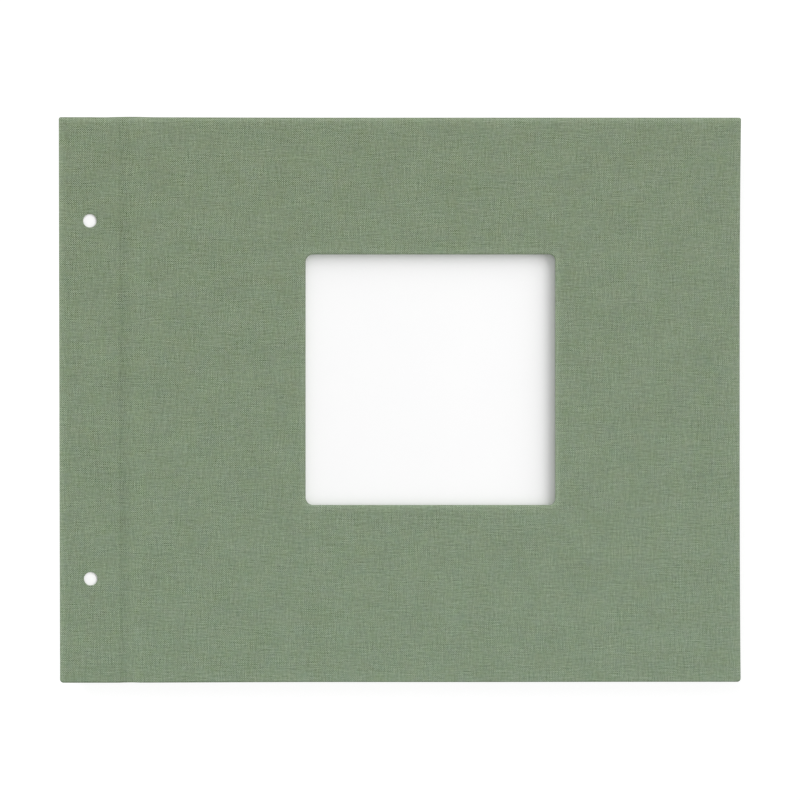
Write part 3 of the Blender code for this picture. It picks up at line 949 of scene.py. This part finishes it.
postCut = {
    "flange": 0.8 * mm,
    "barrel": 2.3 * mm,
    "bore": 1.6 * mm,
    "boreDepth": 11 * mm,
    "head": 1.2 * mm,
    "thread": 1.45 * mm,
    "threadDepth": 0.13 * mm,
    "threadPitch": 0.7 * mm,
    "threadSteps": 8,            # rows of points to a pitch
    "plainNeck": 0.8 * mm,       # no thread beside the head and at the tip
    "plainTip": 0.6 * mm,
    "edge": 0.22 * mm,
    "edgeSteps": 5,
    "slotWidth": 1.2 * mm,
    "slotDepth": 0.6 * mm,
}


def rounded(radius, height, inRadius, inHeight):
    # quarter round from one side of a corner to the other: cosine in radius, sine in height
    lean = np.linspace(0, np.pi / 2, postCut["edgeSteps"])
    return [(radius + inRadius * (1 - np.sin(a)), height + inHeight * (1 - np.cos(a))) for a in lean]


def postBarrel(place, spot, material):
    # turned from the closed end: flange with a rounded rim, barrel, then up the bore to its blind end
    low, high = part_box(f"post_barrel_{place}")
    cut, edge = postCut, postCut["edge"]
    rim = (high.x - low.x) / 2
    profile = [(0, high.z)]
    profile += rounded(rim, high.z, -edge, -edge)
    profile += [(rim, high.z - cut["flange"] + edge), (rim - edge, high.z - cut["flange"])]
    profile += [(cut["barrel"], high.z - cut["flange"]), (cut["barrel"], low.z + edge)]
    profile += [(cut["barrel"] - edge, low.z), (cut["bore"], low.z)]
    profile += [(cut["bore"], low.z + cut["boreDepth"]), (0, low.z + cut["boreDepth"])]
    barrel = finished(addPiece(meshFrom(f"postBarrel_{place}", [turned(profile, spot)]), material))
    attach(barrel, "binding")
    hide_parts(f"post_barrel_{place}")
    return barrel


def postScrew(place, spot, material):
    # head and shank turned as one; the thread is a ripple of the radius that climbs one pitch each turn
    low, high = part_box(f"post_screw_{place}")
    cut, edge = postCut, postCut["edge"]
    rim, shoulder = (high.x - low.x) / 2, low.z + cut["head"]
    neck, tip = shoulder + cut["plainNeck"], high.z - cut["plainTip"]
    shank = np.arange(neck, tip, cut["threadPitch"] / cut["threadSteps"])[::-1]
    profile = [(0, high.z), (cut["thread"] - edge, high.z), (cut["thread"], high.z - edge)]
    profile += [(cut["thread"], z) for z in shank]
    profile += [(cut["thread"], shoulder), (rim - edge, shoulder), (rim, shoulder - edge)]
    profile += rounded(rim, low.z, -edge, edge)[::-1] + [(0, low.z)]

    def climb(angle, height, radius):
        # a triangle wave of the turns less the pitches climbed
        turn = angle / (2 * np.pi) - height / cut["threadPitch"]
        onShank = (height < shank[0] + hair) & (height > shank[-1] - hair) & (radius < rim / 2)
        return -cut["threadDepth"] * np.abs(2 * (turn % 1) - 1) * onShank

    screw = addPiece(meshFrom(f"postScrew_{place}", [turned(profile, spot, ripple=climb)]), material)
    # the slot's blade, closed above and below: twice the head's width, from below it to the slot's floor
    across = np.array([[-2, -0.5], [2, -0.5], [2, 0.5], [-2, 0.5]]) * (rim, cut["slotWidth"]) + spot
    under, ground = low.z - clear, low.z + cut["slotDepth"]
    heights = (under, under, ground, ground)
    rings = np.stack([
        np.column_stack([across if 0 < level < 3 else np.full((4, 2), spot), np.full(4, height)])
        for level, height in enumerate(heights)
    ])
    slot = addPiece(meshFrom("slotBlade", [asPatch(rings)]))
    finished(screw, slot)
    discard(slot)
    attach(screw, f"post_screw_{place}")
    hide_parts(f"post_screw_{place}")


# assembly

linen = linenMaterial()
for side in ("front", "back"):
    coverLinen(side, linen)

dice = np.random.default_rng(7)
sheetPaper = paperMaterial("sheet")
sheetRods = rodCutter(
    "sheetHoles", postPlaces(), sheetCut["postHole"], cadLow.z - clear, cadHigh.z + clear,
)
for number in range(1, sum(name.endswith("_leaf") for name in nodes) + 1):
    foldedSheet(number, sheetPaper, sheetRods, dice)
discard(sheetRods)
print("sheets folded")

plastic = postMaterial()
barrels = [postBarrel(place, spot, plastic) for place, spot in zip(("top", "bottom"), postPlaces())]
for place, spot in zip(("top", "bottom"), postPlaces()):
    postScrew(place, spot, plastic)
print("posts turned")

finishes = {
    boardMaterial(): ("front_board", "back_board", "front_strip_board", "back_strip_board"),
    paperMaterial("guard"): ("front_guard", "back_guard"),
    paperMaterial("lining"): ("front_lining", "back_lining"),
    paperMaterial("card"): ("window_card",),
}
for material, names in finishes.items():
    for name in names:
        nodes[name].data.materials.clear()
        nodes[name].data.materials.append(material)
print("packed nodes dressed")

# stage

stage = {
    "lens": 100,
    "sensor": 36,
    "view": 354.15 * mm,      # width of the picture at the front cover
    "aim": (0.11 * mm, -0.11 * mm),
    "floorGap": 0.2 * mm,
    "floorSize": 8.0,
    "floorGlow": 0.88,        # what the camera sees of the ground without any light
    "floorLit": 0.22,         # and its share of the light, which keeps a shadow
    "floorBounce": 0.8,       # its colour for light that bounces
    "ambient": 0.55,
    "key": {"place": (-4.2, 7.4, 12.0), "size": (7.2, 7.2), "power": 1150},
    "windowKey": {"place": (2.9, 1.5, 1.5), "size": (10.0, 2.6), "power": 340},
}


def addCamera():
    # straight above the cover, as far off as the picture's width times lens over sensor
    data = bpy.data.cameras.new("camera")
    data.lens, data.sensor_width = stage["lens"], stage["sensor"]
    camera = bpy.data.objects.new("camera", data)
    distance = stage["view"] * stage["lens"] / stage["sensor"]
    camera.location = (*stage["aim"], album["front"] + distance)
    scene.collection.objects.link(camera)
    scene.camera = camera


def addLamp(name, target, lit=(), unlit=()):
    # a soft light that looks at the target; lit and unlit say which pieces it reaches
    look = stage[name]
    data = bpy.data.lights.new(name, "AREA")
    data.shape, data.energy = "RECTANGLE", look["power"]
    data.size, data.size_y = look["size"]
    lamp = bpy.data.objects.new(name, data)
    lamp.visible_camera = False
    lamp.location = look["place"]
    away = lamp.location - target
    lamp.rotation_euler = away.to_track_quat("Z", "Y").to_euler()
    scene.collection.objects.link(lamp)
    if lit or unlit:
        reached = bpy.data.collections.new(f"{name}Reach")
        for piece in (*lit, *unlit):
            reached.objects.link(piece)
        for entry, piece in zip(reached.collection_objects, (*lit, *unlit)):
            entry.light_linking.link_state = "INCLUDE" if piece in lit else "EXCLUDE"
        lamp.light_linking.receiver_collection = reached


def whiteForCamera(tool):
    # 1 where the camera, a mirror or a lens looks, 0 for light that bounces
    camera = tool.node("ShaderNodeLightPath", out="Is Camera Ray")
    return (camera + camera.twin("Is Glossy Ray") + camera.twin("Is Transmission Ray")).clamp()


def addWorld():
    # strength 1 where it is looked at, and the ambient light for all else
    world = bpy.data.worlds.new("studio")
    scene.world = world
    world.use_nodes = True
    tool = Shade(world.node_tree)
    seen = whiteForCamera(tool)
    background = world.node_tree.nodes["Background"]
    background.inputs["Color"].default_value = (1, 1, 1, 1)
    strength = seen + (1 - seen) * stage["ambient"]
    world.node_tree.links.new(strength.socket, background.inputs["Strength"])


def addFloor():
    # a white ground that keeps a faint shadow: the camera sees its own glow plus a share of the light
    half, level = stage["floorSize"] / 2, cadLow.z - stage["floorGap"]
    line = np.linspace(-half, half, 3)
    x, y = (grid.ravel() for grid in np.meshgrid(line, line))
    points = np.column_stack([x, y, np.full(len(x), level)])
    material = bpy.data.materials.new("ground")
    material.use_nodes = True
    tree = material.node_tree
    tree.nodes.clear()
    tool = Shade(tree)
    seen = whiteForCamera(tool)
    bounce, share = ((*[stage[key]] * 3, 1.0) for key in ("floorBounce", "floorLit"))
    lit = tool.node("ShaderNodeBsdfDiffuse", None, {"Color": tool.mix(seen, bounce, share)})
    glow = {"Color": (1, 1, 1, 1), "Strength": seen * stage["floorGlow"]}
    own = tool.node("ShaderNodeEmission", None, glow)
    both = tool.node("ShaderNodeAddShader", None, {0: lit, 1: own})
    tool.node("ShaderNodeOutputMaterial", None, {"Surface": both})
    addPiece(meshFrom("ground", [(points, quadsOf(3, 3))]), material)


addCamera()
addWorld()
addFloor()
whites = (nodes["window_card"], *barrels)
middle = (cadLow + cadHigh) / 2
addLamp("key", middle, unlit=whites)
addLamp("windowKey", middle, lit=whites)
scene.view_settings.view_transform = "Standard"
print("stage set")
